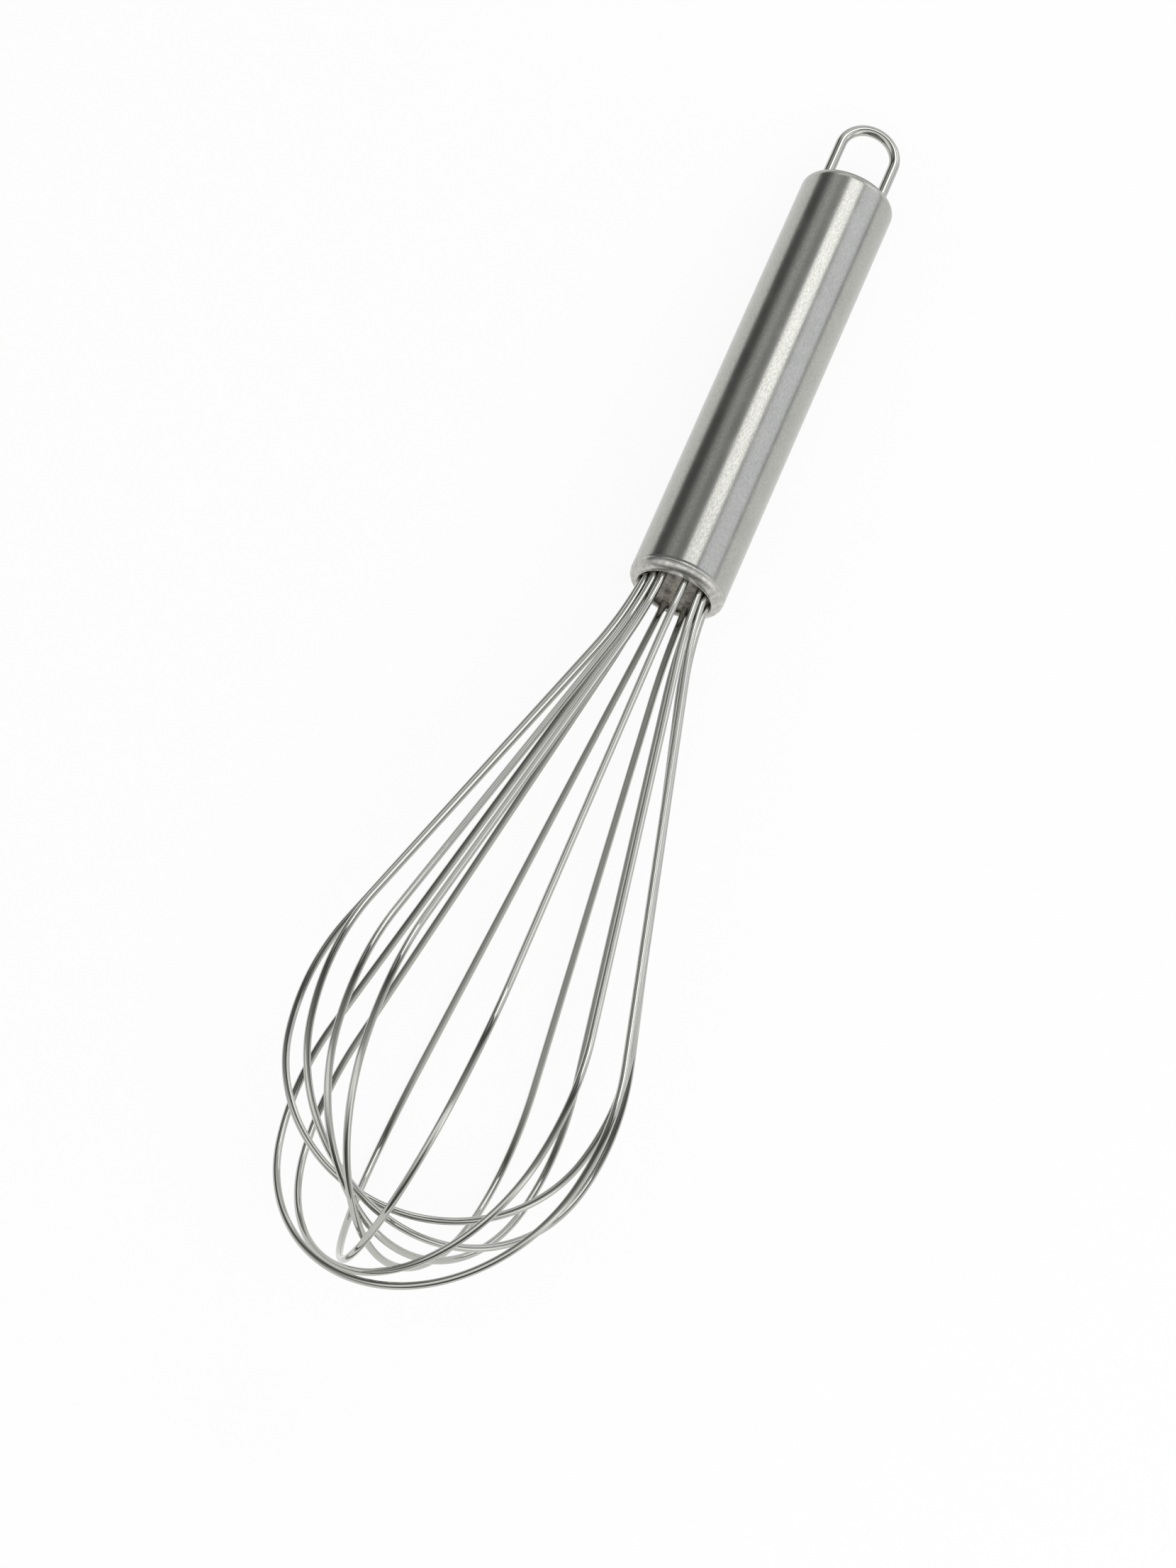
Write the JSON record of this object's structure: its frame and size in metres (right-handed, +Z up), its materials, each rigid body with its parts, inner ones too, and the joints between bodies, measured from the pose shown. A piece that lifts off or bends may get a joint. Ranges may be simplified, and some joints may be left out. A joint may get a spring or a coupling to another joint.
{
  "type": "balloon whisk",
  "caption": "Balloon whisk of nested steel wire loops set in a round satin steel handle, with curled ends and a wire hang loop at the top.",
  "frame": {"origin": "Middle of the bounding box on the table that the whisk lies on: centred in X and Y, with Z zero at the lowest point.", "axes": "+X runs along the whisk from the balloon's tip to the hang loop, +Z is up from the table, and +Y is to the left seen from the balloon looking towards the hang loop."},
  "size_m": [0.2433, 0.0588, 0.0575],
  "materials": {
    "handle_steel": "satin, ground lengthwise",
    "wire_steel": "polished stainless steel",
    "disc_steel": "dull, as stamped",
    "resin": "cast, dull"
  },
  "bodies": {
    "root": {"handle_tube": "handle_steel", "end_cap": "handle_steel", "hang_loop": "wire_steel", "wire_spreader": "disc_steel", "sealing_resin": "resin", "whisk_wire_1": "wire_steel", "whisk_wire_2": "wire_steel", "whisk_wire_3": "wire_steel", "whisk_wire_4": "wire_steel", "whisk_wire_5": "wire_steel", "whisk_wire_6": "wire_steel", "whisk_wire_7": "wire_steel"}
  },
  "joints": []
}
